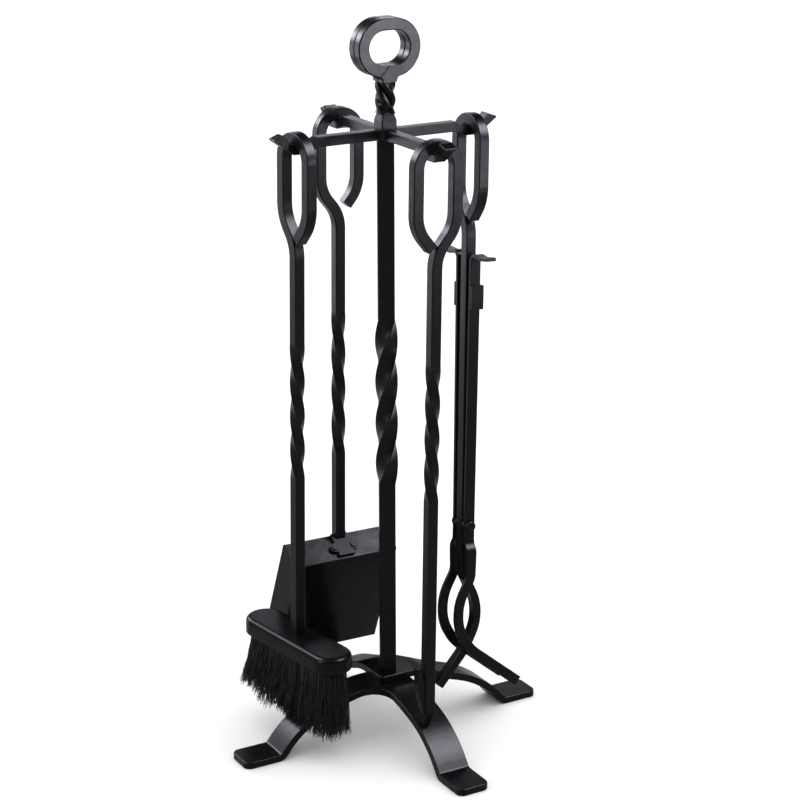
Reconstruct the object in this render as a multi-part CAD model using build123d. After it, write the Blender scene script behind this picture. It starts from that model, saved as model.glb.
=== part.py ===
from build123d import *
import math
import os

# Fireplace tool set: a four-armed stand with a brush, a shovel, a poker and tongs hung on it.
# Millimetres, +Z up, origin on the floor under the post. The arms and feet lie along X and Y:
# tongs on +X, shovel on +Y, brush on -X, poker on -Y.

# Feet: two L-shaped plates with arched legs, one laid corner over corner on the other
LEG_WIDTH = 38.0
PLATE_THICK = 8.0
PLATE_EDGE = 1.2
PLATE_CORNER = 5.0
INNER_CORNER = 28.0
FOOT_RADIUS = 187.5
FOOT_CORNER = 8.0
HEEL_RADIUS = 141.0
HEEL_BEND = 12.0
CROWN_HEIGHT = 55.5
# Corners of a leg's arch: distance from the edge of the other leg, and height as a share of the crown's
LOWER_ARCH = ((17.0, 1.0), (47.0, 0.89), (78.0, 0.72), (105.0, 0.376))
UPPER_ARCH = ((11.0, 1.0), (33.0, 0.86), (78.0, 0.62), (105.0, 0.33))
ARCH_BEND = 400.0

# Bolt from below through both plates into the post
BOLT_DIAMETER = 10.0
BOLT_HEAD = 17.0
BOLT_HEAD_HEIGHT = 6.5
BOLT_GRIP = 24.0
BOLT_CLEARANCE = 0.2
WASHER_DIAMETER = 22.0
WASHER_THICK = 2.0

# Room past the end of a thread in its bore
BORE_END = 1.5

# Post: square bar with one right-handed turn
POST_SIZE = 18.0
POST_CORNER = 1.2
POST_TURN = -27.0
POST_TWIST_LOW = 293.5
POST_TWIST_LENGTH = 185.8
POST_TWIST = 360.0

# Hub and arms
ARM_Z = 679.0
ARM_SIZE = 11.0
ARM_EDGE = 0.8
HUB_REACH = 21.0
HUB_FILLET = 6.0
SEAT_RADIUS = 104.0
SEAT_PLAY = 1.5
SEAT_DIP = 7.3
SEAT_RUN = 14.0
SEAT_THICK = 8.6
SEAT_WIDTH = 14.0
CREST_RISE = 5.6
CREST_RUN = 10.0
TIP_RUN = 10.5
TIP_DROP = 4.0
TIP_FACE = 1.6

# Neck and carrying ring: two bars twisted together, each rolled into a ring
NECK_BLOCK_HEIGHT = 16.0
NECK_BLOCK_SIZE = 18.0
NECK_BLOCK_EDGE = 1.2
NECK_SHOULDER_HEIGHT = 7.0
NECK_SHOULDER_IN = 2.0
NECK_WIDTH = 17.4
NECK_ROUND = 3.5
NECK_TWIST_LENGTH = 33.5
NECK_TWIST = -180.0
NECK_TAIL = 5.0
NECK_FILLET = 4.5
RING_WIDTH = 73.0
RING_HEIGHT = 61.0
RING_BAR = 12.6
RING_DEPTH = 10.6
RING_EDGE = 1.2
RING_GROOVE = 0.4
SEAM_WIDTH = 0.8
SEAM_ANGLE = 48.0
STUD_DIAMETER = 10.0
STUD_IN_POST = 25.0
STUD_IN_BLOCK = 10.0
STUD_CLEARANCE = 0.1

# Tools: a bar bent into a loop that hangs on the arm's seat
BAR = 12.0
BAR_CORNER = 1.2
LOOP_WIDTH = 58.0
LOOP_LEG_DROP = 79.0
LOOP_JOIN_DROP = 107.0
LOOP_BEND = 40.0
HANG_CLEARANCE = 0.45
TOOL_TWIST = -360.0

# Brush
BRUSH_AZIMUTH = 180.0
BRUSH_SWING = -1.75
BRUSH_TURN = 6.0
BRUSH_END_GAP = 0.6
BRUSH_TWIST_DROP = 214.0
BRUSH_TWIST_LENGTH = 151.0
HEAD_LENGTH = 162.0
HEAD_WIDTH = 46.0
HEAD_THICK = 19.0
HEAD_TOP = 131.0
HEAD_TURN = 4.0
HEAD_ROUND = 6.0
HEAD_EDGE = 1.5
TANG_DIAMETER = 8.0
TANG_LENGTH = 11.0
TANG_CLEARANCE = 0.1
BRISTLE_INSET = 4.0
BRISTLE_FLARE = 11.0
BRISTLE_BOTTOM = 42.0
BRISTLE_SLOPE = -3.0
BRISTLE_LEG_GAP = 1.5

# Shovel
SHOVEL_AZIMUTH = 90.0
SHOVEL_SWING = 0.65
SHOVEL_END_GAP = 6.0
SHOVEL_TWIST_DROP = 217.0
SHOVEL_TWIST_LENGTH = 165.0
SHEET = 2.0
PAN_LENGTH = 137.0
PAN_HALF_WIDTH = 64.0
PAN_FLARE = 5.5
PAN_DEPTH = 30.6
PAN_BACK_LEAN = 9.3
PAN_RIM = 90.0
PAN_LIP = 3.0
PAN_TILT = 21.8
PAN_BEND_SETBACK = 22.0
PAN_BEND_Z = 177.0
TAB_WIDTH = 20.0
TAB_THICK = 4.0
TAB_START = 3.0
EAR_SPREAD = 12.0
EAR_RADIUS = 5.5
EAR_PLACE = 14.0
PAN_RIVET = 4.0
PAN_RIVET_HEAD = 7.5
PAN_RIVET_HEAD_HEIGHT = 1.6
RIVET_CLEARANCE = 0.1

# Poker
POKER_AZIMUTH = -90.0
POKER_SWING = -0.9
POKER_END_GAP = 1.5
POKER_TWIST_DROP = 224.0
POKER_TWIST_LENGTH = 149.0
POKER_TIP_Z = 46.0
POKER_TAPER = 18.0
POKER_TIP_SIZE = 3.0
BARB_Z = 62.0
BARB_ROOT = 40.0
BARB_REACH = 9.0
BARB_RISE = 55.0
BARB_THICK = 8.0
# Points the barb's outer and inner curve pass: shares of its reach and of its rise, or its rise past the root
BARB_OUTER = (0.7, 0.35)
BARB_INNER = (0.4, 0.3)

# Tongs
TONGS_AZIMUTH = 0.0
TONGS_SWING = -4.0
TONGS_LEAN = 3.2
TONGS_END_GAP = 3.0
PIVOT_Z = 238.0
PIVOT_DIAMETER = 6.0
PIVOT_CLEARANCE = 0.06
PIVOT_HEAD = 12.0
PIVOT_HEAD_HEIGHT = 3.2
SIDE_CLEARANCE = 0.1
SPACER_DIAMETER = 12.0
STRIP_WIDTH = 12.5
STRIP_THICK = 4.0
STRIP_EDGE = 0.8
STRIP_GAP = 3.4
STRIP_FLAT = 20.0
STRIP_SPLAY = 2.5
STRIP_TOP = 541.0
STRIP_BEND = 9.0
LIP_LENGTH = 32.0
LIP_DIP = 3.0
CLIP_LOW = 481.0
CLIP_HEIGHT = 26.0
CLIP_THICK = 2.6
CLIP_STOP_GAP = 0.3
CLAW_TOP = 190.0
CLAW_BLEND = 14.0
CLAW_SPREAD = 17.0
CLAW_EDGE = 1.2
CLAW_BEND = 60.0
PAIR_SIZE = (11.5, 4.5)
SINGLE_SIZE = (9.0, 12.0)
# Claw outlines: sideways place and height above the floor
PAIR_CLAW = ((0.0, 180.0), (-15.0, 152.0), (-15.0, 122.0), (0.0, 97.0), (64.0, 49.0))
SINGLE_CLAW = ((0.0, 180.0), (17.0, 146.0), (17.0, 120.0), (2.0, 91.0), (-30.0, 54.0))

# A face is upright, or an edge not, by this much of its direction's Z part
FLAT_ENOUGH = 0.01

# Largest part of a run that one of its two bends may take, and that the one bend of a loop's free end may take
RUN_SHARE = 0.48
FREE_SHARE = 0.94

# Heights and places that follow from the sizes above
UPPER_CROWN = CROWN_HEIGHT + PLATE_THICK
PLATES_TOP = UPPER_CROWN + PLATE_THICK
HUB_LOW = ARM_Z - ARM_SIZE / 2
HUB_TOP = ARM_Z + ARM_SIZE / 2
BLOCK_TOP = HUB_TOP + NECK_BLOCK_HEIGHT
NECK_TOP = BLOCK_TOP + NECK_TWIST_LENGTH
RING_Z = NECK_TOP + NECK_TAIL + RING_HEIGHT / 2
LOOP_INNER = LOOP_WIDTH / 2 - BAR
LOOP_HALF = (LOOP_WIDTH - BAR) / 2
SEAT_TOP = HUB_TOP - SEAT_DIP
SEAT_SAG = LOOP_INNER - math.sqrt(LOOP_INNER**2 - (SEAT_WIDTH / 2) ** 2)
LOOP_CROWN = SEAT_TOP + SEAT_SAG + HANG_CLEARANCE
LOOP_ARC_Z = LOOP_CROWN - LOOP_INNER
STRIP_MID = BAR / 2 + STRIP_GAP + STRIP_THICK / 2
STRIP_OUTER = STRIP_MID + STRIP_THICK / 2


def bent_path(points, bends, share=RUN_SHARE):
    """Straight runs through points, each corner rounded to its bend or as far as its two runs allow."""
    corners = [Vector(*point) for point in points]
    radii = []
    for before, corner, after, bend in zip(corners, corners[1:], corners[2:], bends):
        back = before - corner
        ahead = after - corner
        half_turn = math.radians(180 - back.get_angle(ahead)) / 2
        room = share * min(back.length, ahead.length)
        radii.append(min(bend, room / math.tan(half_turn)))
    return FilletPolyline(*points, radius=radii)


def square_bar(low, high, size, corner):
    """Upright square bar with rounded corners."""
    return extrude(Pos(0, 0, low) * RectangleRounded(size, size, corner), high - low)


def twisted_bar(low, length, size, corner, turn):
    """Upright square bar turned about its own axis."""
    face = (Pos(0, 0, low) * RectangleRounded(size, size, corner)).face()
    return Part() + Solid.extrude_linear_with_rotation(face, (0, 0, low), (0, 0, length), turn)


def rod(diameter, low, high):
    """Upright round rod."""
    return extrude(Pos(0, 0, low) * Circle(diameter / 2), high - low)


def leg_line(crown, arch, lift=0.0):
    """Underside of a leg from the plate's outer edge to the foot's tip, drawn flat as distance and height."""
    points = [(-LEG_WIDTH / 2, crown + lift)]
    points += [(LEG_WIDTH / 2 + run, crown * share + lift) for run, share in arch]
    points += [(HEEL_RADIUS, lift), (FOOT_RADIUS, lift)]
    return bent_path(points, [ARCH_BEND] * len(arch) + [HEEL_BEND])


def under_line(line):
    """Face between a line that runs outwards and a level below the floor."""
    start = line @ 0
    end = line @ 1
    level = -PLATE_THICK
    ends = Polyline((end.X, end.Y), (end.X, level), (start.X, level), (start.X, start.Y))
    return make_face([*line.edges(), *ends.edges()])


def plate_outline():
    """L-shaped outline with legs along +X and +Y, a wide inner corner and rounded tips."""
    reach = FOOT_RADIUS + LEG_WIDTH / 2
    middle = (FOOT_RADIUS - LEG_WIDTH / 2) / 2
    outline = Pos(middle, 0) * Rectangle(reach, LEG_WIDTH) + Pos(0, middle) * Rectangle(LEG_WIDTH, reach)
    inner = [v for v in outline.vertices() if 0 < v.X < LEG_WIDTH and 0 < v.Y < LEG_WIDTH]
    outline = fillet(inner, INNER_CORNER)
    outer = [v for v in outline.vertices() if v.X < 0 and v.Y < 0]
    outline = fillet(outer, PLATE_CORNER)
    tips = [v for v in outline.vertices() if max(v.X, v.Y) > FOOT_RADIUS - FOOT_CORNER]
    return fillet(tips, FOOT_CORNER)


def foot_plate(crown, arch):
    """Plate with legs along +X and +Y: two crossing arched bands, the lower one taken where they differ."""
    line = leg_line(crown, arch)
    top = offset(line, PLATE_THICK, side=Side.LEFT, closed=False)
    along_x = [extrude(Plane.XZ * under_line(edge), FOOT_RADIUS, both=True) for edge in (top, line)]
    diagonal = Plane(origin=(0, 0, 0), z_dir=(1, -1, 0))
    along_y = [mirror(space, diagonal) for space in along_x]
    plate = extrude(plate_outline(), crown + 2 * PLATE_THICK) & along_x[0] & along_y[0]
    plate -= along_x[1] & along_y[1]
    walls = [face for face in plate.faces() if abs(face.normal_at().Z) < FLAT_ENOUGH]
    rim = [edge for wall in walls for edge in wall.edges() if abs(edge.tangent_at(0.5).Z) < 1 - FLAT_ENOUGH]
    plate = fillet(rim, PLATE_EDGE)
    return plate - rod(BOLT_DIAMETER + 2 * BOLT_CLEARANCE, 0, PLATES_TOP)


def base_bolt():
    """Hex bolt with its head under the washer."""
    seat = CROWN_HEIGHT - WASHER_THICK
    corner_radius = BOLT_HEAD / math.sqrt(3)
    head = extrude(Pos(0, 0, seat - BOLT_HEAD_HEIGHT) * RegularPolygon(corner_radius, 6), BOLT_HEAD_HEIGHT)
    return head + rod(BOLT_DIAMETER, seat, PLATES_TOP + BOLT_GRIP)


def base_washer():
    """Flat washer under the lower plate."""
    disc = rod(WASHER_DIAMETER, CROWN_HEIGHT - WASHER_THICK, CROWN_HEIGHT)
    return disc - rod(BOLT_DIAMETER + 2 * BOLT_CLEARANCE, 0, CROWN_HEIGHT)


def post():
    """Square post with one twist, bored at both ends for the bolt and the stud."""
    twist_top = POST_TWIST_LOW + POST_TWIST_LENGTH
    bar = square_bar(PLATES_TOP, POST_TWIST_LOW, POST_SIZE, POST_CORNER)
    bar += twisted_bar(POST_TWIST_LOW, POST_TWIST_LENGTH, POST_SIZE, POST_CORNER, POST_TWIST)
    bar += square_bar(twist_top, HUB_LOW, POST_SIZE, POST_CORNER)
    bar -= rod(BOLT_DIAMETER + 2 * BOLT_CLEARANCE, PLATES_TOP, PLATES_TOP + BOLT_GRIP + BORE_END)
    bar -= rod(STUD_DIAMETER + 2 * STUD_CLEARANCE, HUB_LOW - STUD_IN_POST - BORE_END, HUB_LOW)
    return Rot(0, 0, POST_TURN) * bar


def hanger_hub():
    """Cross-shaped hub with filleted inner corners and a hole for the stud."""
    cross = Rectangle(2 * HUB_REACH, ARM_SIZE) + Rectangle(ARM_SIZE, 2 * HUB_REACH)
    inner = cross.vertices().sort_by(lambda corner: corner.center().length)[:4]
    body = extrude(Pos(0, 0, HUB_LOW) * fillet(inner, HUB_FILLET), ARM_SIZE)
    return body - rod(STUD_DIAMETER + 2 * STUD_CLEARANCE, HUB_LOW, HUB_TOP)


def hanger_arm():
    """Arm along X: square bar, flattened seat for a loop, upturned tip with a bevelled end."""
    half = ARM_SIZE / 2
    seat_in = SEAT_RADIUS - BAR / 2 - SEAT_PLAY
    seat_out = SEAT_RADIUS + BAR / 2 + SEAT_PLAY
    seat = half - SEAT_DIP
    under = seat - SEAT_THICK
    crest = half + CREST_RISE
    tip = seat_out + CREST_RUN + TIP_RUN
    tip_top = crest - TIP_DROP
    side = Polyline(
        (HUB_REACH, half),
        (seat_in - SEAT_RUN, half),
        (seat_in, seat),
        (seat_out, seat),
        (seat_out + CREST_RUN, crest),
        (tip, tip_top),
        (tip, tip_top - TIP_FACE),
        (seat_out - TIP_FACE, under),
        (seat_in - TIP_FACE, under),
        (seat_in - SEAT_RUN - TIP_FACE, -half),
        (HUB_REACH, -half),
        close=True,
    )
    plan = Polyline(
        (HUB_REACH, half),
        (seat_in - SEAT_RUN, half),
        (seat_in, SEAT_WIDTH / 2),
        (tip, SEAT_WIDTH / 2),
        (tip, -SEAT_WIDTH / 2),
        (seat_in, -SEAT_WIDTH / 2),
        (seat_in - SEAT_RUN, -half),
        (HUB_REACH, -half),
        close=True,
    )
    blank = extrude(Plane.XZ * make_face(side), SEAT_WIDTH, both=True)
    arm = blank & extrude(Pos(0, 0, -SEAT_WIDTH) * make_face(plan), 3 * SEAT_WIDTH)
    rim = [edge for edge in arm.edges() if edge.center().X > HUB_REACH + ARM_EDGE / 2]
    return Pos(0, 0, ARM_Z) * fillet(rim, ARM_EDGE)


def neck_block():
    """Square block on the hub with sloping shoulders, bored for the stud."""
    shoulder = BLOCK_TOP - NECK_SHOULDER_HEIGHT
    top_size = NECK_BLOCK_SIZE - 2 * NECK_SHOULDER_IN
    wide = Pos(0, 0, shoulder) * RectangleRounded(NECK_BLOCK_SIZE, NECK_BLOCK_SIZE, NECK_BLOCK_EDGE)
    narrow = Pos(0, 0, BLOCK_TOP) * RectangleRounded(top_size, top_size, NECK_BLOCK_EDGE)
    block = square_bar(HUB_TOP, shoulder, NECK_BLOCK_SIZE, NECK_BLOCK_EDGE) + loft([wide, narrow])
    return block - rod(STUD_DIAMETER + 2 * STUD_CLEARANCE, HUB_TOP, HUB_TOP + STUD_IN_BLOCK + BORE_END)


def neck_stud():
    """Stud that holds block, hub and post together."""
    return rod(STUD_DIAMETER, HUB_LOW - STUD_IN_POST, HUB_TOP + STUD_IN_BLOCK)


def ring_bar():
    """Front bar of the carrying ring: half of the twisted neck, then rolled once round to a cut end."""
    ring = SlotOverall(RING_WIDTH, RING_HEIGHT)
    ring -= SlotOverall(RING_WIDTH - 2 * RING_BAR, RING_HEIGHT - 2 * RING_BAR)
    tail_low = NECK_TOP - RING_Z
    tail_high = RING_BAR / 2 - RING_HEIGHT / 2
    ring += Pos(0, (tail_low + tail_high) / 2) * Rectangle(NECK_WIDTH, tail_high - tail_low)
    crotch = [v for v in ring.vertices() if abs(abs(v.X) - NECK_WIDTH / 2) < 0.01 and v.Y > tail_low + 1]
    ring = fillet(crotch, NECK_FILLET)
    plate = extrude(Plane.XZ * Pos(0, RING_Z) * ring, RING_DEPTH)
    rims = [edge for edge in plate.faces().filter_by(Axis.Y).edges() if edge.center().Z > NECK_TOP + RING_EDGE]
    plate = fillet(rims, RING_EDGE)
    seam = Pos(-RING_BAR / 2, -RING_DEPTH / 2, RING_Z - RING_HEIGHT / 2 + RING_BAR / 2) * Rot(0, -SEAM_ANGLE, 0)
    plate -= seam * Box(3 * RING_BAR, 2 * RING_DEPTH, SEAM_WIDTH)
    half_depth = NECK_WIDTH / 2 - RING_GROOVE / 2
    strand = Pos(0, -(half_depth + RING_GROOVE) / 2) * RectangleRounded(NECK_WIDTH, half_depth, NECK_ROUND)
    start = (Pos(0, 0, BLOCK_TOP) * Rot(0, 0, -NECK_TWIST) * strand).face()
    twist = Solid.extrude_linear_with_rotation(start, (0, 0, BLOCK_TOP), (0, 0, NECK_TWIST_LENGTH), NECK_TWIST)
    return Pos(0, -RING_GROOVE / 2, 0) * plate + twist


def loop_and_shank(side, low, end_gap):
    """Bar from the loop's free end, over the top and down the shank to low. side is the shank leg's Y side."""
    leg = LOOP_CROWN - LOOP_LEG_DROP
    join = LOOP_CROWN - LOOP_JOIN_DROP
    run = math.hypot(LOOP_HALF, leg - join)
    slant = math.atan2(LOOP_HALF, leg - join)
    stop_short = (BAR / 2 * (1 + math.cos(2 * slant)) + end_gap) / math.sin(2 * slant)
    free_run = run - stop_short
    free_y = -side * (LOOP_HALF - free_run * math.sin(slant))
    free_z = leg - free_run * math.cos(slant)
    far = -side * LOOP_HALF
    near = side * LOOP_HALF
    free_leg = bent_path([(0, free_y, free_z), (0, far, leg), (0, far, LOOP_ARC_Z)], [LOOP_BEND], FREE_SHARE)
    top = ThreePointArc((0, far, LOOP_ARC_Z), (0, 0, LOOP_CROWN + BAR / 2), (0, near, LOOP_ARC_Z))
    shank_leg = bent_path(
        [(0, near, LOOP_ARC_Z), (0, near, leg), (0, 0, join), (0, 0, low)],
        [LOOP_BEND, LOOP_BEND],
    )
    path = Wire([*free_leg.edges(), top.edge(), *shank_leg.edges()])
    start = Plane(
        origin=(0, free_y, free_z),
        x_dir=(1, 0, 0),
        z_dir=(0, -side * math.sin(slant), math.cos(slant)),
    )
    return sweep(start * RectangleRounded(BAR, BAR, BAR_CORNER), path=path)


def twisted_tool(side, drop, length, low, end_gap):
    """Loop, shank with one left-handed turn, and plain bar down to low."""
    top = LOOP_CROWN - drop
    bar = loop_and_shank(side, top, end_gap)
    bar += twisted_bar(top - length, length, BAR, BAR_CORNER, TOOL_TWIST)
    return bar + square_bar(low, top - length, BAR, BAR_CORNER)


def hang(shape, azimuth, swing, lean=0.0):
    """Place a tool, made with its shank on the Z axis and its arm along X, on its arm."""
    on_arm = Rot(0, 0, azimuth) * Pos(SEAT_RADIUS, 0, LOOP_ARC_Z)
    return on_arm * Rot(swing, 0, 0) * Rot(0, lean, 0) * Pos(0, 0, -LOOP_ARC_Z) * shape


def brush_shank():
    """Brush handle with a threaded end for the head."""
    bar = twisted_tool(-1, BRUSH_TWIST_DROP, BRUSH_TWIST_LENGTH, HEAD_TOP, BRUSH_END_GAP)
    return bar + rod(TANG_DIAMETER, HEAD_TOP - TANG_LENGTH, HEAD_TOP)


def brush_head():
    """Oblong block with round ends."""
    low = HEAD_TOP - HEAD_THICK
    block = extrude(Pos(0, 0, low) * SlotOverall(HEAD_LENGTH, HEAD_WIDTH), HEAD_THICK)
    block = fillet(block.faces().sort_by(Axis.Z)[-1].edges(), HEAD_ROUND)
    block = fillet(block.faces().sort_by(Axis.Z)[0].edges(), HEAD_EDGE)
    block -= rod(TANG_DIAMETER + 2 * TANG_CLEARANCE, HEAD_TOP - TANG_LENGTH - BORE_END, HEAD_TOP)
    return Rot(0, 0, 90 + HEAD_TURN) * block


def brush_bristles():
    """Bristle pack that flares downwards."""
    high = HEAD_TOP - HEAD_THICK
    length = HEAD_LENGTH - 2 * BRISTLE_INSET
    width = HEAD_WIDTH - 2 * BRISTLE_INSET
    top = Pos(0, 0, high) * SlotOverall(length, width)
    bottom = SlotOverall(length + 2 * BRISTLE_FLARE, width + 2 * BRISTLE_FLARE)
    bottom = Pos(0, 0, BRISTLE_BOTTOM) * Rot(0, BRISTLE_SLOPE, 0) * bottom
    return Rot(0, 0, 90 + HEAD_TURN) * loft([top, bottom])


def leg_room():
    """Space that the leg under the brush takes, down to the floor."""
    last_run, last_share = LOWER_ARCH[-1]
    steepest = math.atan2(CROWN_HEIGHT * last_share, HEEL_RADIUS - LEG_WIDTH / 2 - last_run)
    lift = PLATE_THICK / math.cos(steepest) + BRISTLE_LEG_GAP
    outline = under_line(leg_line(CROWN_HEIGHT, LOWER_ARCH, lift))
    return Rot(0, 0, 180) * extrude(Plane.XZ * outline, LEG_WIDTH / 2 + BRISTLE_LEG_GAP, both=True)


def pan_place():
    """Frame of the shovel's pan: X along the floor from the bend to the mouth, Z into the pan."""
    tilt = math.radians(PAN_TILT)
    along = (math.sin(tilt), 0, -math.cos(tilt))
    inward = (math.cos(tilt), 0, math.sin(tilt))
    return Plane(origin=(-PAN_BEND_SETBACK, 0, PAN_BEND_Z), x_dir=along, z_dir=inward).location


def back_wall_place():
    """Frame of the back wall's outer face: X from the bend up to the rim, Z out of the pan."""
    up = (-PAN_BACK_LEAN, 0, PAN_DEPTH)
    outward = (-PAN_DEPTH, 0, -PAN_BACK_LEAN)
    return pan_place() * Plane(origin=(0, 0, 0), x_dir=up, z_dir=outward).location


def ear_places():
    """Centres of the tab's two ears on the back wall."""
    return [back_wall_place() * Pos(EAR_PLACE, side * EAR_SPREAD, 0) for side in (-1, 1)]


def plate(points, inside):
    """Flat sheet with its outer face through points, thickened towards inside."""
    face = make_face(Polyline(*points, close=True))
    normal = face.face().normal_at()
    towards = Vector(*inside) - face.center()
    way = normal if normal.dot(towards) > 0 else -normal
    return extrude(face, SHEET, dir=way)


def shovel_pan():
    """Pan of bent sheet: floor, back wall and two flared side walls."""
    half = PAN_HALF_WIDTH
    rim_half = half + PAN_FLARE
    lip_half = half + PAN_FLARE * PAN_LIP / PAN_DEPTH
    inside = (PAN_LENGTH / 3, 0, PAN_DEPTH)
    floor = [(0, -half, 0), (PAN_LENGTH, -half, 0), (PAN_LENGTH, half, 0), (0, half, 0)]
    back_top = [(-PAN_BACK_LEAN, half_side, PAN_DEPTH) for half_side in (rim_half, -rim_half)]
    pan = plate(floor, inside) + plate([(0, -half, 0), (0, half, 0), *back_top], inside)
    for side in (-1, 1):
        wall = [
            (0, side * half, 0),
            (PAN_LENGTH, side * half, 0),
            (PAN_LENGTH, side * lip_half, PAN_LIP),
            (PAN_RIM, side * rim_half, PAN_DEPTH),
            (-PAN_BACK_LEAN, side * rim_half, PAN_DEPTH),
        ]
        pan += plate(wall, inside)
    pan = pan_place() * pan
    for place in ear_places():
        pan -= place * rod(PAN_RIVET + 2 * RIVET_CLEARANCE, -2 * SHEET, SHEET)
    return pan


def shovel_shank():
    """Shovel handle, flattened at its end into a tab with two ears on the pan's back wall."""
    wall = back_wall_place()
    wall_height = math.hypot(PAN_DEPTH, PAN_BACK_LEAN)
    bar = twisted_tool(1, SHOVEL_TWIST_DROP, SHOVEL_TWIST_LENGTH, PAN_BEND_Z, SHOVEL_END_GAP)
    below = Pos(wall_height / 2, 0, -PAN_DEPTH) * Box(4 * wall_height, 4 * BAR, 2 * PAN_DEPTH)
    tab_length = wall_height - TAB_START
    tab = Pos(TAB_START + tab_length / 2, 0) * Rectangle(tab_length, TAB_WIDTH)
    for side in (-1, 1):
        tab += Pos(EAR_PLACE, side * EAR_SPREAD) * Circle(EAR_RADIUS)
    handle = bar - wall * below + wall * extrude(tab, TAB_THICK)
    for place in ear_places():
        handle -= place * rod(PAN_RIVET + 2 * RIVET_CLEARANCE, -SHEET, 2 * TAB_THICK)
    return handle


def shovel_rivets():
    """Two rivets through the tab's ears and the back wall."""
    rivet = rod(PAN_RIVET, -SHEET - PAN_RIVET_HEAD_HEIGHT, TAB_THICK + PAN_RIVET_HEAD_HEIGHT)
    rivet += rod(PAN_RIVET_HEAD, TAB_THICK, TAB_THICK + PAN_RIVET_HEAD_HEIGHT)
    rivet += rod(PAN_RIVET_HEAD, -SHEET - PAN_RIVET_HEAD_HEIGHT, -SHEET)
    return Compound(children=[place * rivet for place in ear_places()])


def poker_shank():
    """Poker handle with a tapered point."""
    shoulder = POKER_TIP_Z + POKER_TAPER
    bar = twisted_tool(1, POKER_TWIST_DROP, POKER_TWIST_LENGTH, shoulder, POKER_END_GAP)
    wide = Pos(0, 0, shoulder) * RectangleRounded(BAR, BAR, BAR_CORNER)
    tip = Pos(0, 0, POKER_TIP_Z) * RectangleRounded(POKER_TIP_SIZE, POKER_TIP_SIZE, POKER_TIP_SIZE / 4)
    return bar + loft([wide, tip])


def poker_barb():
    """Curved barb welded to the shank's side."""
    root = -BAR / 2
    tip = (0, root - BARB_REACH, BARB_Z + BARB_RISE)
    low = (0, root, BARB_Z)
    high = (0, root, BARB_Z + BARB_ROOT)
    out, up = BARB_OUTER
    outer = ThreePointArc(low, (0, root - out * BARB_REACH, BARB_Z + up * BARB_RISE), tip)
    out, up = BARB_INNER
    inner_z = BARB_Z + BARB_ROOT + up * (BARB_RISE - BARB_ROOT)
    inner = ThreePointArc(tip, (0, root - out * BARB_REACH, inner_z), high)
    side = make_face([outer, inner, Line(high, low)])
    return extrude(side, BARB_THICK / 2, both=True)


def claw(points, y, size):
    """Bowed claw in the plane of the jaw's swing, from the end of its strip or shank."""
    start = Plane(origin=(0, y, CLAW_TOP), x_dir=(1, 0, 0), z_dir=(0, 0, -1))
    route = [(0, y, CLAW_TOP)] + [(x, y, z) for x, z in points]
    path = bent_path(route, [CLAW_BEND] * (len(route) - 2))
    return sweep(start * RectangleRounded(*size, CLAW_EDGE), path=path)


def tongs_shank():
    """Tongs' main bar: loop, shank with the pivot's hole, and the single claw."""
    bar = loop_and_shank(1, CLAW_TOP + CLAW_BLEND, TONGS_END_GAP)
    wide = Pos(0, 0, CLAW_TOP + CLAW_BLEND) * RectangleRounded(BAR, BAR, BAR_CORNER)
    narrow = Pos(0, 0, CLAW_TOP) * RectangleRounded(*SINGLE_SIZE, CLAW_EDGE)
    bar += loft([wide, narrow]) + claw(SINGLE_CLAW, 0, SINGLE_SIZE)
    return bar - across(PIVOT_DIAMETER, -BAR, BAR)


def across(diameter, start, end):
    """Round rod along Y through the pivot."""
    return extrude(Pos(0, start, PIVOT_Z) * Rot(-90, 0, 0) * Circle(diameter / 2), end - start)


def tongs_rivet():
    """Pivot rivet with a head over each strip."""
    seat = STRIP_OUTER + SIDE_CLEARANCE
    end = seat + PIVOT_HEAD_HEIGHT
    pin = across(PIVOT_DIAMETER, -end, end)
    heads = across(PIVOT_HEAD, seat, end) + across(PIVOT_HEAD, -end, -seat)
    rims = [edge for edge in heads.edges() if abs(abs(edge.center().Y) - end) < SIDE_CLEARANCE]
    return pin + fillet(rims, PIVOT_HEAD_HEIGHT / 2)


def tongs_spacers():
    """Two spacer rings on the rivet, between shank and strips."""
    start = BAR / 2
    end = start + STRIP_GAP - SIDE_CLEARANCE
    ring = across(SPACER_DIAMETER, start, end) - across(PIVOT_DIAMETER, start, end)
    return Compound(children=[ring, mirror(ring, Plane.XZ)])


def jaw_strip():
    """Strip on the +Y side: claw, flat with the pivot's hole, splayed run up, and an outward lip."""
    low = CLAW_TOP + CLAW_BLEND
    flat_low = PIVOT_Z - STRIP_FLAT
    flat_high = PIVOT_Z + STRIP_FLAT
    top_y = STRIP_MID + STRIP_SPLAY
    route = [
        (0, CLAW_SPREAD, low),
        (0, CLAW_SPREAD, low + CLAW_BLEND / 2),
        (0, STRIP_MID, flat_low),
        (0, STRIP_MID, flat_high),
        (0, top_y, STRIP_TOP),
        (0, top_y + LIP_LENGTH / 2, STRIP_TOP - LIP_DIP),
        (0, top_y + LIP_LENGTH, STRIP_TOP - LIP_DIP / 2),
    ]
    path = bent_path(route, [CLAW_BLEND, CLAW_BLEND, CLAW_BLEND, STRIP_BEND, STRIP_BEND])
    start = Plane(origin=(0, CLAW_SPREAD, low), x_dir=(1, 0, 0), z_dir=(0, 0, 1))
    strip = sweep(start * RectangleRounded(STRIP_WIDTH, STRIP_THICK, STRIP_EDGE), path=path)
    wide = Pos(0, CLAW_SPREAD, low) * RectangleRounded(STRIP_WIDTH, STRIP_THICK, STRIP_EDGE)
    narrow = Pos(0, CLAW_SPREAD, CLAW_TOP) * RectangleRounded(*PAIR_SIZE, STRIP_EDGE)
    strip += loft([wide, narrow]) + claw(PAIR_CLAW, CLAW_SPREAD, PAIR_SIZE)
    return strip - across(PIVOT_DIAMETER + 2 * PIVOT_CLEARANCE, 0, 2 * STRIP_OUTER)


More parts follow.
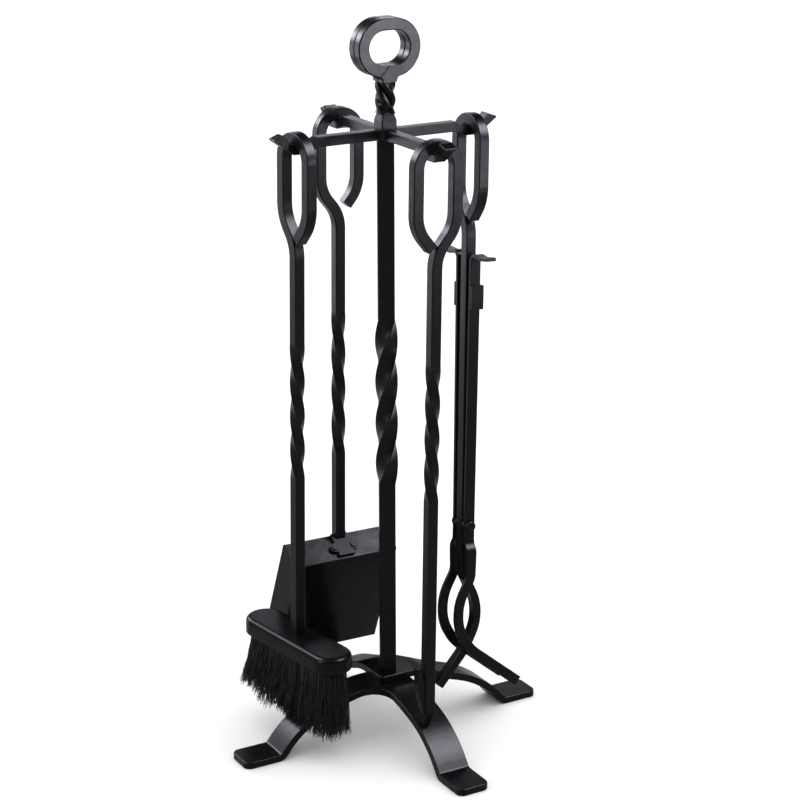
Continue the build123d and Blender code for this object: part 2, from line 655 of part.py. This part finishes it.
def jaw_clip():
    """U-shaped clip over both strips behind the shank."""
    middle = CLIP_LOW + CLIP_HEIGHT / 2
    rise = (middle - PIVOT_Z - STRIP_FLAT) / (STRIP_TOP - PIVOT_Z - STRIP_FLAT)
    half_rise = CLIP_HEIGHT / 2 / (STRIP_TOP - PIVOT_Z - STRIP_FLAT)
    inner = STRIP_OUTER + STRIP_SPLAY * (rise + half_rise)
    back = BAR / 2 + CLIP_STOP_GAP
    front = -STRIP_WIDTH / 2
    outer = Rectangle(back + CLIP_THICK - front, 2 * (inner + CLIP_THICK))
    outer = Pos((back + CLIP_THICK + front) / 2, 0) * outer
    hollow = Pos((back + front) / 2, 0) * Rectangle(back - front, 2 * inner)
    return extrude(Pos(0, 0, CLIP_LOW) * (outer - hollow), CLIP_HEIGHT)


def on_brush(shape):
    return hang(Rot(0, 0, BRUSH_TURN) * shape, BRUSH_AZIMUTH, BRUSH_SWING)


def on_shovel(shape):
    return hang(shape, SHOVEL_AZIMUTH, SHOVEL_SWING)


def on_poker(shape):
    return hang(shape, POKER_AZIMUTH, POKER_SWING)


def on_tongs(shape):
    return hang(shape, TONGS_AZIMUTH, TONGS_SWING, TONGS_LEAN)


def main():
    arm = hanger_arm()
    ring = ring_bar()
    strip = jaw_strip()
    nodes = {
        "foot_plate_upper": foot_plate(UPPER_CROWN, UPPER_ARCH),
        "foot_plate_lower": Rot(0, 0, 180) * foot_plate(CROWN_HEIGHT, LOWER_ARCH),
        "base_bolt": base_bolt(),
        "base_washer": base_washer(),
        "post": post(),
        "hanger_hub": hanger_hub(),
        "hanger_arm_left": Rot(0, 0, BRUSH_AZIMUTH) * arm,
        "hanger_arm_right": Rot(0, 0, TONGS_AZIMUTH) * arm,
        "hanger_arm_front": Rot(0, 0, POKER_AZIMUTH) * arm,
        "hanger_arm_back": Rot(0, 0, SHOVEL_AZIMUTH) * arm,
        "neck_block": neck_block(),
        "neck_stud": neck_stud(),
        "ring_bar_front": ring,
        "ring_bar_back": Rot(0, 0, 180) * ring,
        "brush_shank": on_brush(brush_shank()),
        "brush_head": on_brush(brush_head()),
        "brush_bristles": on_brush(brush_bristles()) - leg_room(),
        "shovel_shank": on_shovel(shovel_shank()),
        "shovel_pan": on_shovel(shovel_pan()),
        "shovel_rivets": on_shovel(shovel_rivets()),
        "poker_shank": on_poker(poker_shank()),
        "poker_barb": on_poker(poker_barb()),
        "tongs_shank": on_tongs(tongs_shank()),
        "tongs_rivet": on_tongs(tongs_rivet()),
        "tongs_spacers": on_tongs(tongs_spacers()),
        "jaw_strip_left": on_tongs(strip),
        "jaw_strip_right": on_tongs(mirror(strip, Plane.XZ)),
        "jaw_clip": on_tongs(jaw_clip()),
    }
    os.makedirs("parts", exist_ok=True)
    for name, shape in nodes.items():
        export_step(shape, f"parts/{name}.step")


main()
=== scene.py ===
"""Looks of a fireplace tool set.

Satin paint on the iron, gloss paint on the brush's block, single bristles and a studio stage.
"""
import math

import bpy
import numpy as np
from bpy.props import FloatProperty, FloatVectorProperty, IntProperty, PointerProperty
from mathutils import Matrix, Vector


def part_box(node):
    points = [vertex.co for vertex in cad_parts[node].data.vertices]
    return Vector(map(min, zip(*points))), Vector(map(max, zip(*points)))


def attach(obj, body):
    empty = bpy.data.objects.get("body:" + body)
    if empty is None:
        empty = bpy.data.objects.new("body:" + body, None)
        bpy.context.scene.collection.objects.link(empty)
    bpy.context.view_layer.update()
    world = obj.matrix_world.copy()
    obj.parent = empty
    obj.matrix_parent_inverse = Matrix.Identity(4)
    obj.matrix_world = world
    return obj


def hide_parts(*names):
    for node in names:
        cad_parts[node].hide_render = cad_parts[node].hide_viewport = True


bl_info = {
    "name": "Fireplace Tool Set",
    "version": (1, 0, 0),
    "blender": (4, 5, 0),
    "location": "3D View > Sidebar > Hearth",
    "description": "Paints the iron of a fireplace tool set, grows the brush's bristles and sets the stage",
    "category": "Object",
}

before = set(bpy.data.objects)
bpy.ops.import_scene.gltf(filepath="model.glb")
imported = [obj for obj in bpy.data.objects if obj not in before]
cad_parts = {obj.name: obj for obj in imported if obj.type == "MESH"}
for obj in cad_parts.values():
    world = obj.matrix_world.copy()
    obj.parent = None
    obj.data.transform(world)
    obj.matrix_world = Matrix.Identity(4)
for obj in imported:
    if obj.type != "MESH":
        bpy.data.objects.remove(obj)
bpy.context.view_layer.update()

MM = 0.001
TURN = 2 * math.pi

BLOCK_NODE = "brush_head"
BRISTLE_NODE = "brush_bristles"
BRUSH_BODY = "brush"
LEG_NODE = "foot_plate_lower"
PAN_NODE = "shovel_pan"
RING_NODES = ("ring_bar_front", "ring_bar_back")

# Sockets of a Mix node that mixes colours.
MIX_SHARE = 0
MIX_FIRST = 6
MIX_SECOND = 7
MIX_RESULT = 2

# Paint: widths of the noise lumps, and how far the noise swings the roughness about its mean.
NOISE_MEAN = 0.5
DENT_WIDTH = 26 * MM
COAT_WIDTH = 7 * MM
PEEL_WIDTH = 0.9 * MM
DENT_SWING = 0.14
PEEL_SWING = 0.08
IRON_SPECULAR = 0.06
RING_POLISH = 0.05
PAN_POLISH = 0.1
PAN_DENTED = 1.3

BLOCK_DARK = (0.0018, 0.0018, 0.0022)
BLOCK_LIGHT = (0.0032, 0.0032, 0.0038)
BLOCK_ROUGHNESS = 0.34
BLOCK_SWING = 0.1
BLOCK_WAVE_WIDTH = 30 * MM
BLOCK_PEEL_WIDTH = 1.6 * MM
BLOCK_WAVE = 0.25 * MM
BLOCK_PEEL = 0.02 * MM
BLOCK_COAT = 0.02
BLOCK_COAT_ROUGHNESS = 0.16
BLOCK_SPECULAR = 0.035

FIBRE_ROUGHNESS = 0.42
FIBRE_SWING = 0.2
FIBRE_SPECULAR = 0.15
FIBRE_LIGHTER = 2.5

# Bristles: rings along each, sides of its section, bend, thinning to the tip, wave, and depth in the block.
BRISTLE_RINGS = 6
BRISTLE_SIDES = 3
BRISTLE_BEND = 1.5
BRISTLE_THINNING = 0.5
WAVE_CYCLES = 1.8
WAVE_REACH = 2.0 * MM
ROOT_DEPTH = 1.0 * MM

# Room between the bristles and the leg below them.
LEG_GAP = 1.5 * MM
LEG_SPREAD = 3 * MM
COLUMN_DIGITS = 3

# Core of the pack: its grid, its share of the outline, how square its ends are, and where it closes.
CORE_SIDES = 64
CORE_RINGS = 14
CORE_FILL = 0.74
CORE_SQUARE = 6
CORE_FLARE = 0.5
CORE_CLOSE = 0.8
CORE_POINT = 1e-4
CORE_SHORT = 5 * MM
CORE_LEG_GAP = 4 * MM

FLOOR_ROUGHNESS = 0.9
LAMP_COLOUR = (0.88, 0.88, 1.0)
MIDDLE = (0, 0, 0.4)
SHANKS = (0, 0, 0.5)
ARMS = (0, 0, 0.68)
RING = (0, 0, 0.77)

WIDE = math.pi
NARROW = math.radians(30)

# Each light: its place, the point it faces, its width and height, its spread, and the setting of its power.
LIGHTS = {
    "top_light": ((1.25, -1.1, 2.1), MIDDLE, (1.2, 1.2), WIDE, "top_power"),
    "side_light": ((-2.0, -0.2, 1.2), MIDDLE, (0.5, 1.6), WIDE, "side_power"),
    "back_light": ((-0.75, 2.1, 1.35), MIDDLE, (1.1, 0.6), WIDE, "back_power"),
    "rear_light": ((-1.25, 1.1, 2.1), MIDDLE, (1.2, 1.2), WIDE, "rear_power"),
    "strip_light": ((-0.95, 1.7, 0.45), SHANKS, (0.5, 0.9), WIDE, "strip_power"),
    "arm_light": ((1.15, 2.1, 1.25), ARMS, (1.2, 0.25), WIDE, "arm_power"),
    "front_light": ((0.62, -1.15, 0.66), RING, (0.35, 0.35), NARROW, "front_power"),
}


def colour_setting(name, description, default):
    """Colour that a user may change."""
    return FloatVectorProperty(
        name=name, description=description, subtype="COLOR", min=0, max=1, default=default,
    )


def length_setting(name, description, default):
    """Length in metres that a user may change."""
    return FloatProperty(name=name, description=description, unit="LENGTH", default=default)


def share_setting(name, description, default):
    """Share from 0 to 1 that a user may change."""
    return FloatProperty(
        name=name, description=description, subtype="FACTOR", min=0, max=1, default=default,
    )


def power_setting(name, description, default):
    """Power of a light, in watts."""
    return FloatProperty(name=name, description=description, unit="POWER", default=default)


class PaintSettings(bpy.types.PropertyGroup):
    """Finish of the painted iron."""

    colour: colour_setting("Colour", "Paint on the iron", (0.0016, 0.0016, 0.002))
    thin_colour: colour_setting("Thin colour", "Paint where the coat is thin", (0.0032, 0.0032, 0.004))
    roughness: share_setting("Roughness", "Mean roughness of the satin coat", 0.34)
    peel: length_setting("Peel", "Height of the coat's fine pebbling", 0.03 * MM)
    dents: length_setting("Dents", "Depth of the forging's shallow dents", 0.35 * MM)


class BristleSettings(bpy.types.PropertyGroup):
    """Bristles of the hearth brush."""

    count: IntProperty(name="Bristles", description="Number of bristles", min=200, default=6200)
    tufts: IntProperty(name="Tufts", description="Number of tufts they gather in", min=20, default=420)
    gather: share_setting("Gather", "How far a bristle's tip leans to its tuft", 0.4)
    radius: length_setting("Radius", "Radius at the root", 0.4 * MM)
    inset: length_setting("Inset", "Bare rim under the block", 6.0 * MM)
    flare: length_setting("Flare", "How far the outer tips stand out", 7.5 * MM)
    lean: length_setting("Lean", "How far the tips lean towards the back end", 8.0 * MM)
    back_low: length_setting("Back end", "Height of the tips at the back", 51 * MM)
    front_low: length_setting("Front end", "Height of the tips in front", 34 * MM)
    ragged: length_setting("Ragged", "Spread of the tips' heights", 2.6 * MM)
    colour: colour_setting("Colour", "Colour of the bristles", (0.0025, 0.0025, 0.0028))
    seed: IntProperty(name="Seed", description="Seed of the bristles' scatter", default=11)


class StageSettings(bpy.types.PropertyGroup):
    """Camera, floor and light."""

    camera_place: FloatVectorProperty(
        name="Camera", description="Place of the camera", subtype="TRANSLATION", unit="LENGTH",
        default=(-1.1301, -2.0047, 1.1328),
    )
    camera_turn: FloatVectorProperty(
        name="Turn", description="Rotation of the camera", subtype="EULER", unit="ROTATION",
        default=(math.radians(72.06), math.radians(0.15), math.radians(-29.82)),
    )
    lens: FloatProperty(name="Lens", description="Focal length in millimetres", default=100.8)
    floor_colour: colour_setting("Floor", "Colour of the floor", (0.95, 0.95, 0.95))
    floor_size: length_setting("Floor size", "Side of the floor", 60.0)
    sky: FloatProperty(name="Sky", description="Strength of the even light all round", min=0, default=1.3)
    sky_gloss: FloatProperty(
        name="Sky in gloss", description="Strength of the sky in reflections", min=0, default=0.07,
    )
    top_power: power_setting("Top light", "Power of the light overhead", 350)
    side_power: power_setting("Side light", "Power of the light on the left", 66)
    back_power: power_setting("Back light", "Power of the light behind", 84)
    rear_power: power_setting("Rear light", "Power of the high light at the rear", 200)
    strip_power: power_setting("Strip light", "Power of the low strip at the rear", 11)
    arm_power: power_setting("Arm light", "Power of the light along the arms", 6)
    front_power: power_setting("Front light", "Power of the light on the ring", 0.9)


class Value:
    """A socket of a material's nodes. Python's operators on it add Math nodes."""

    def __init__(self, nodes, socket):
        self.nodes = nodes
        self.socket = socket

    def math(self, operation, first, second):
        return self.nodes.add("ShaderNodeMath", {"operation": operation}, {0: first, 1: second})

    def __add__(self, other):
        return self.math("ADD", self, other)

    def __radd__(self, other):
        return self.math("ADD", other, self)

    def __sub__(self, other):
        return self.math("SUBTRACT", self, other)

    def __rsub__(self, other):
        return self.math("SUBTRACT", other, self)

    def __mul__(self, other):
        return self.math("MULTIPLY", self, other)

    def __rmul__(self, other):
        return self.math("MULTIPLY", other, self)


class Nodes:
    """Node tree of a new material."""

    def __init__(self, name):
        self.material = bpy.data.materials.new(name)
        self.material.use_nodes = True
        self.tree = self.material.node_tree
        self.tree.nodes.clear()

    def add(self, kind, settings=None, inputs=None, out=0):
        """Add a node, apply its settings, then set or link its inputs."""
        node = self.tree.nodes.new(kind)
        for key, value in (settings or {}).items():
            setattr(node, key, value)
        for key, value in (inputs or {}).items():
            if isinstance(value, Value):
                self.tree.links.new(value.socket, node.inputs[key])
            else:
                node.inputs[key].default_value = value
        return Value(self, node.outputs[out]) if node.outputs else None

    def place(self):
        """Object coordinates, in metres."""
        return self.add("ShaderNodeTexCoord", out="Object")

    def noise(self, place, width, detail=2):
        """Soft noise whose lumps are about width metres wide."""
        inputs = {"Vector": place, "Scale": 1 / width, "Detail": detail}
        return self.add("ShaderNodeTexNoise", {"noise_dimensions": "3D"}, inputs, out="Fac")

    def mix(self, share, first, second):
        """Colour between first and second."""
        inputs = {MIX_SHARE: share, MIX_FIRST: (*first, 1), MIX_SECOND: (*second, 1)}
        return self.add("ShaderNodeMix", {"data_type": "RGBA"}, inputs, out=MIX_RESULT)

    def bump(self, height):
        """Normal of a surface raised by height metres."""
        return self.add("ShaderNodeBump", None, {"Height": height, "Distance": 1, "Strength": 1})

    def finish(self, **inputs):
        """Principled shader with these inputs, as the material's surface."""
        named = {key.replace("_", " ").title().replace("Ior", "IOR"): value for key, value in inputs.items()}
        shader = self.add("ShaderNodeBsdfPrincipled", None, named)
        self.add("ShaderNodeOutputMaterial", None, {"Surface": shader})
        return self.material


def satin_iron(name, paint, polish=0.0, dented=1.0):
    """Satin paint over forged bar: shallow dents, fine pebbling, and a tone that follows the coat."""
    nodes = Nodes(name)
    place = nodes.place()
    dents = nodes.noise(place, DENT_WIDTH, detail=3)
    coat = nodes.noise(place, COAT_WIDTH, detail=3)
    peel = nodes.noise(place, PEEL_WIDTH)
    tone = nodes.mix(coat, paint.colour, paint.thin_colour)
    dent_swing = (dents - NOISE_MEAN) * DENT_SWING
    peel_swing = (peel - NOISE_MEAN) * PEEL_SWING
    height = dents * (dented * paint.dents) + peel * paint.peel
    return nodes.finish(
        base_color=tone,
        roughness=paint.roughness - polish + dent_swing + peel_swing,
        normal=nodes.bump(height),
        specular_ior_level=IRON_SPECULAR,
    )


def gloss_block(name):
    """Gloss paint on the brush's wooden block: a slow wave of the brushed coat and little peel."""
    nodes = Nodes(name)
    place = nodes.place()
    wave = nodes.noise(place, BLOCK_WAVE_WIDTH)
    peel = nodes.noise(place, BLOCK_PEEL_WIDTH)
    height = wave * BLOCK_WAVE + peel * BLOCK_PEEL
    return nodes.finish(
        base_color=nodes.mix(wave, BLOCK_DARK, BLOCK_LIGHT),
        roughness=BLOCK_ROUGHNESS + (wave - NOISE_MEAN) * BLOCK_SWING,
        normal=nodes.bump(height),
        coat_weight=BLOCK_COAT,
        coat_roughness=BLOCK_COAT_ROUGHNESS,
        specular_ior_level=BLOCK_SPECULAR,
    )


def bristle_fibre(name, colour):
    """Coarse black bristle, each strand of its own tone."""
    nodes = Nodes(name)
    strand = nodes.add("ShaderNodeAttribute", {"attribute_name": "strand"}, out="Fac")
    lighter = tuple(FIBRE_LIGHTER * part for part in colour)
    return nodes.finish(
        base_color=nodes.mix(strand, colour, lighter),
        roughness=FIBRE_ROUGHNESS + strand * FIBRE_SWING,
        specular_ior_level=FIBRE_SPECULAR,
    )


def dress(node, material):
    """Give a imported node's object one material."""
    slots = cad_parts[node].data.materials
    slots.clear()
    slots.append(material)


def node_points(node):
    """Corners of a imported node's mesh, one row each."""
    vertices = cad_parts[node].data.vertices
    flat = np.empty(3 * len(vertices))
    vertices.foreach_get("co", flat)
    return flat.reshape(-1, 3)


def new_piece(name, points, faces, material):
    """Smooth mesh object at the origin that rides on the brush."""
    mesh = bpy.data.meshes.new(name)
    mesh.from_pydata(points.tolist(), [], faces)
    mesh.polygons.foreach_set("use_smooth", np.ones(len(mesh.polygons), bool))
    mesh.materials.append(material)
    piece = bpy.data.objects.new(name, mesh)
    bpy.context.scene.collection.objects.link(piece)
    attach(piece, BRUSH_BODY)
    return piece


def bristle_field(bristles):
    """Centre of the block's underside, the bristled area's half length and half width, and the block's axes.

    The axes run to the front, across and up. They are the main directions of the block's corners about their
    mean. The bristled area is the underside less its bare rim.
    """
    points = node_points(BLOCK_NODE)
    up, across, ahead = np.linalg.eigh(np.cov(points.T))[1].T
    up = up * np.sign(up[2])
    ahead = ahead * -np.sign(ahead[1])
    across = np.cross(up, ahead)
    axes = np.array([ahead, across, up])
    local = points @ axes.T
    low = local.min(axis=0)
    high = local.max(axis=0)
    centre = (low + high) / 2
    centre[2] = low[2]
    half_long, half_wide = (high - low)[:2] / 2 - bristles.inset
    return centre @ axes, half_long, half_wide, axes


def leg_half():
    """Half the leg's width: the plate reaches that far past the post."""
    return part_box(LEG_NODE)[1].x


def leg_top(x):
    """Height of the top of the leg under the brush at each x: the upper envelope of its corners."""
    points = node_points(LEG_NODE)
    half = leg_half()
    on_leg = points[(points[:, 0] < -half) & (np.abs(points[:, 1]) < half)]
    columns, index = np.unique(np.round(on_leg[:, 0], COLUMN_DIGITS), return_inverse=True)
    tops = np.zeros(len(columns))
    np.maximum.at(tops, index, on_leg[:, 2])
    return np.interp(x, columns, tops)


def tip_height(bristles, ahead, half_long):
    """Height of the cut tips at each place ahead: a straight slope from the back end to the front."""
    share = (ahead / half_long + 1) / 2
    return bristles.back_low + share * (bristles.front_low - bristles.back_low)


def scatter(random, count, half_long, half_wide):
    """count points spread evenly over a slot, the set of points within half_wide of its middle line."""
    tries = 2 * count
    ahead = random.uniform(-half_long, half_long, tries)
    across = random.uniform(-half_wide, half_wide, tries)
    past = np.maximum(np.abs(ahead) - (half_long - half_wide), 0)
    inside = np.hypot(past, across) < half_wide
    return np.column_stack((ahead, across))[inside][:count]


def clear_of_leg(tips, random):
    """Lift tips onto the leg, or push them past its edge, so that the bristles part around it."""
    half = leg_half()
    top = leg_top(tips[:, 0]) + LEG_GAP + random.uniform(0, LEG_SPREAD, len(tips))
    side = np.abs(tips[:, 1])
    under = tips[:, 2] < top
    on_top = under & (side < half - LEG_GAP)
    beside = under & (side >= half - LEG_GAP) & (side < half + 2 * LEG_GAP)
    tips[on_top, 2] = top[on_top]
    tips[beside, 1] = np.sign(tips[beside, 1]) * (half + 2 * LEG_GAP)
    return tips


def bristle_tips(roots, random, bristles, half_long, half_wide):
    """Place of each root's tip in the block's axes, and how far it hangs above the cut.

    A tip is drawn to its tuft and then spread outwards in step with its place. Each tuft and each bristle has
    its own length.
    """
    spread = 1 + bristles.flare / np.array([half_long, half_wide])
    tufts = scatter(random, bristles.tufts, half_long, half_wide)
    nearest = np.argmin(((roots[:, None] - tufts[None]) ** 2).sum(axis=2), axis=1)
    aim = (1 - bristles.gather) * roots + bristles.gather * tufts[nearest]
    tips = aim * spread
    tips[:, 0] -= bristles.lean
    tuft_lift = random.normal(0, bristles.ragged, len(tufts))
    lift = tuft_lift[nearest] + random.normal(0, bristles.ragged, len(roots))
    return tips, lift


def bristle_strands(bristles):
    """Points and faces of every bristle, and the tone of each point.

    A bristle leaves its root straight down and bends outwards: at t from 0 to 1 it has gone t of the way down
    and t to the power of the bend of the way out, plus a small wave. Its section is a triangle that thins to
    the tip.
    """
    random = np.random.default_rng(bristles.seed)
    origin, half_long, half_wide, axes = bristle_field(bristles)
    roots = scatter(random, bristles.count, half_long, half_wide)
    tips, lift = bristle_tips(roots, random, bristles, half_long, half_wide)
    start = origin + roots @ axes[:2] + ROOT_DEPTH * axes[2]
    end = origin + tips @ axes[:2]
    end[:, 2] = tip_height(bristles, tips[:, 0], half_long) + lift
    end = clear_of_leg(end, random)

    count = len(roots)
    t = np.linspace(0, 1, BRISTLE_RINGS)[None, :, None]
    way = (end - start)[:, None]
    out = way * (1, 1, 0)
    down = way * (0, 0, 1)
    phase = random.uniform(0, TURN, (count, 1, 2))
    line = start[:, None] + out * t**BRISTLE_BEND + down * t
    line[:, :, :2] += np.sin(TURN * WAVE_CYCLES * t + phase) * t * WAVE_REACH

    angle = random.uniform(0, TURN, (count, 1, 1)) + np.arange(BRISTLE_SIDES) * TURN / BRISTLE_SIDES
    radius = bristles.radius * (1 - BRISTLE_THINNING * t)
    section = np.stack((np.cos(angle), np.sin(angle), np.zeros_like(angle)), axis=3) * radius[..., None]
    points = line[:, :, None] + section
    faces = tube_faces(count, BRISTLE_RINGS, BRISTLE_SIDES)
    tone = np.repeat(random.uniform(0, 1, count), BRISTLE_RINGS * BRISTLE_SIDES)
    return points.reshape(-1, 3), faces, tone


def tube_faces(tubes, rings, sides):
    """Side and end faces of tubes whose points run round each ring, then along the tube."""
    start = (np.arange(tubes) * rings * sides)[:, None, None]
    ring = (np.arange(rings - 1) * sides)[None, :, None]
    side = np.arange(sides)[None, None]
    after = (side + 1) % sides
    low = start + ring
    walls = np.stack((low + side, low + sides + side, low + sides + after, low + after), axis=3)
    first = start[:, 0] + np.arange(sides)
    last = first[:, ::-1] + (rings - 1) * sides
    return walls.reshape(-1, 4).tolist() + first.tolist() + last.tolist()


def bristle_core(bristles):
    """Points and faces of the pack's dark heart, which lets no light through.

    Rings of a slot outline, carried from the block downwards: at t the outline has grown by a share of the
    flare times t, and the last rings close it to a point on a quarter ellipse.
    """
    origin, half_long, half_wide, axes = bristle_field(bristles)
    angle = np.linspace(0, TURN, CORE_SIDES, endpoint=False)
    shift = (half_long - half_wide) * np.tanh(CORE_SQUARE * np.cos(angle))
    outline = np.column_stack((shift + half_wide * np.cos(angle), half_wide * np.sin(angle))) * CORE_FILL
    t = np.linspace(0, 1, CORE_RINGS)
    closing = np.clip((t - CORE_CLOSE) / (1 - CORE_CLOSE), 0, 1)
    close = np.sqrt(np.clip(1 - closing**2, CORE_POINT, 1))
    grow = (1 + t * bristles.flare / half_wide * CORE_FLARE) * close
    flat = outline[None] * grow[:, None, None]
    flat[:, :, 0] -= (t * bristles.lean)[:, None]
    points = origin + flat @ axes[:2]
    low = tip_height(bristles, flat[:, :, 0], half_long) + CORE_SHORT
    over_leg = np.abs(points[:, :, 1]) < leg_half() + CORE_LEG_GAP
    clear = np.maximum(low, leg_top(points[:, :, 0]) + CORE_LEG_GAP)
    low = np.where(over_leg, clear, low)
    top = points[:, :, 2]
    points[:, :, 2] = top + t[:, None] * (low - top)
    return points.reshape(-1, 3), tube_faces(1, CORE_RINGS, CORE_SIDES)


def soft_light(name, place, target, size, spread, power):
    """Rectangular light that faces target. It shows in gloss alone, so the floor keeps its even tone."""
    lamp = bpy.data.lights.new(name, "AREA")
    lamp.shape = "RECTANGLE"
    lamp.size, lamp.size_y = size
    lamp.energy = power
    lamp.spread = spread
    lamp.color = LAMP_COLOUR
    light = bpy.data.objects.new(name, lamp)
    way = Vector(target) - Vector(place)
    light.visible_diffuse = False
    light.visible_camera = False
    light.location = place
    light.rotation_euler = way.to_track_quat("-Z", "Y").to_euler()
    bpy.context.scene.collection.objects.link(light)


def pale_floor(stage):
    """Level pale floor that fills the view."""
    half = stage.floor_size / 2
    corners = [(-half, -half, 0), (half, -half, 0), (half, half, 0), (-half, half, 0)]
    mesh = bpy.data.meshes.new("floor")
    mesh.from_pydata(corners, [], [(0, 1, 2, 3)])
    matt = Nodes("pale_floor").finish(
        base_color=(*stage.floor_colour, 1), roughness=FLOOR_ROUGHNESS, specular_ior_level=0,
    )
    mesh.materials.append(matt)
    floor = bpy.data.objects.new("floor", mesh)
    bpy.context.scene.collection.objects.link(floor)


def studio_sky(stage):
    """Even white light all round, dimmer in reflections, as dark flags round a studio make it."""
    world = bpy.data.worlds.new("studio")
    world.use_nodes = True
    tree = world.node_tree
    background = tree.nodes["Background"]
    background.inputs["Color"].default_value = (1, 1, 1, 1)
    path = tree.nodes.new("ShaderNodeLightPath")
    strength = tree.nodes.new("ShaderNodeMapRange")
    strength.inputs["To Min"].default_value = stage.sky
    strength.inputs["To Max"].default_value = stage.sky_gloss
    tree.links.new(path.outputs["Is Glossy Ray"], strength.inputs["Value"])
    tree.links.new(strength.outputs["Result"], background.inputs["Strength"])
    return world


def photo_camera(stage):
    """Camera at the photograph's viewing angle."""
    lens = bpy.data.cameras.new("camera")
    lens.lens = stage.lens
    camera = bpy.data.objects.new("camera", lens)
    camera.location = stage.camera_place
    camera.rotation_euler = stage.camera_turn
    bpy.context.scene.collection.objects.link(camera)
    return camera


class HEARTH_OT_paint_iron(bpy.types.Operator):
    """Paint every iron piece of the stand and the tools"""

    bl_idname = "hearth.paint_iron"
    bl_label = "Paint Iron"

    def execute(self, context):
        paint = context.scene.hearth_paint
        bars = satin_iron("satin_black_iron", paint)
        ring = satin_iron("handled_black_iron", paint, polish=RING_POLISH)
        sheet = satin_iron("pressed_black_sheet", paint, polish=PAN_POLISH, dented=PAN_DENTED)
        coats = {PAN_NODE: sheet, **dict.fromkeys(RING_NODES, ring)}
        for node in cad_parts:
            if node not in (BLOCK_NODE, BRISTLE_NODE):
                dress(node, coats.get(node, bars))
        return {"FINISHED"}


class HEARTH_OT_gloss_block(bpy.types.Operator):
    """Paint the brush's block"""

    bl_idname = "hearth.gloss_block"
    bl_label = "Gloss Brush Block"

    def execute(self, context):
        dress(BLOCK_NODE, gloss_block("gloss_black_block"))
        return {"FINISHED"}


class HEARTH_OT_grow_bristles(bpy.types.Operator):
    """Grow the brush's bristles in place of their plain solid"""

    bl_idname = "hearth.grow_bristles"
    bl_label = "Grow Bristles"

    def execute(self, context):
        bristles = context.scene.hearth_bristles
        fibre = bristle_fibre("black_bristle", bristles.colour)
        points, faces, tone = bristle_strands(bristles)
        strands = new_piece("bristle_strands", points, faces, fibre)
        strand = strands.data.attributes.new("strand", "FLOAT", "POINT")
        strand.data.foreach_set("value", tone.astype(np.float32))
        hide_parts(BRISTLE_NODE)
        points, faces = bristle_core(bristles)
        new_piece("bristle_core", points, faces, fibre)
        return {"FINISHED"}


class HEARTH_OT_set_stage(bpy.types.Operator):
    """Add the camera, the floor and the lights"""

    bl_idname = "hearth.set_stage"
    bl_label = "Set Stage"

    def execute(self, context):
        scene = context.scene
        stage = scene.hearth_stage
        pale_floor(stage)
        for name, (place, target, size, spread, power) in LIGHTS.items():
            soft_light(name, place, target, size, spread, getattr(stage, power))
        scene.world = studio_sky(stage)
        scene.view_settings.view_transform = "Standard"
        scene.camera = photo_camera(stage)
        return {"FINISHED"}


class HEARTH_PT_tool_set(bpy.types.Panel):
    """Settings and steps of the tool set's looks"""

    bl_idname = "HEARTH_PT_tool_set"
    bl_label = "Fireplace Tool Set"
    bl_space_type = "VIEW_3D"
    bl_region_type = "UI"
    bl_category = "Hearth"

    def draw(self, context):
        for operator in OPERATORS:
            self.layout.operator(operator.bl_idname)
        for name, settings in SETTINGS.items():
            box = self.layout.box()
            for setting in settings.__annotations__:
                box.prop(getattr(context.scene, name), setting)


OPERATORS = (HEARTH_OT_paint_iron, HEARTH_OT_gloss_block, HEARTH_OT_grow_bristles, HEARTH_OT_set_stage)
SETTINGS = {"hearth_paint": PaintSettings, "hearth_bristles": BristleSettings, "hearth_stage": StageSettings}


def register():
    for group in (*SETTINGS.values(), *OPERATORS, HEARTH_PT_tool_set):
        bpy.utils.register_class(group)
    for name, group in SETTINGS.items():
        setattr(bpy.types.Scene, name, PointerProperty(type=group))


def unregister():
    for name in SETTINGS:
        delattr(bpy.types.Scene, name)
    for group in (HEARTH_PT_tool_set, *OPERATORS, *SETTINGS.values()):
        bpy.utils.unregister_class(group)


def main():
    register()
    bpy.ops.hearth.paint_iron()
    bpy.ops.hearth.gloss_block()
    bpy.ops.hearth.grow_bristles()
    bpy.ops.hearth.set_stage()


if __name__ == "__main__":
    main()
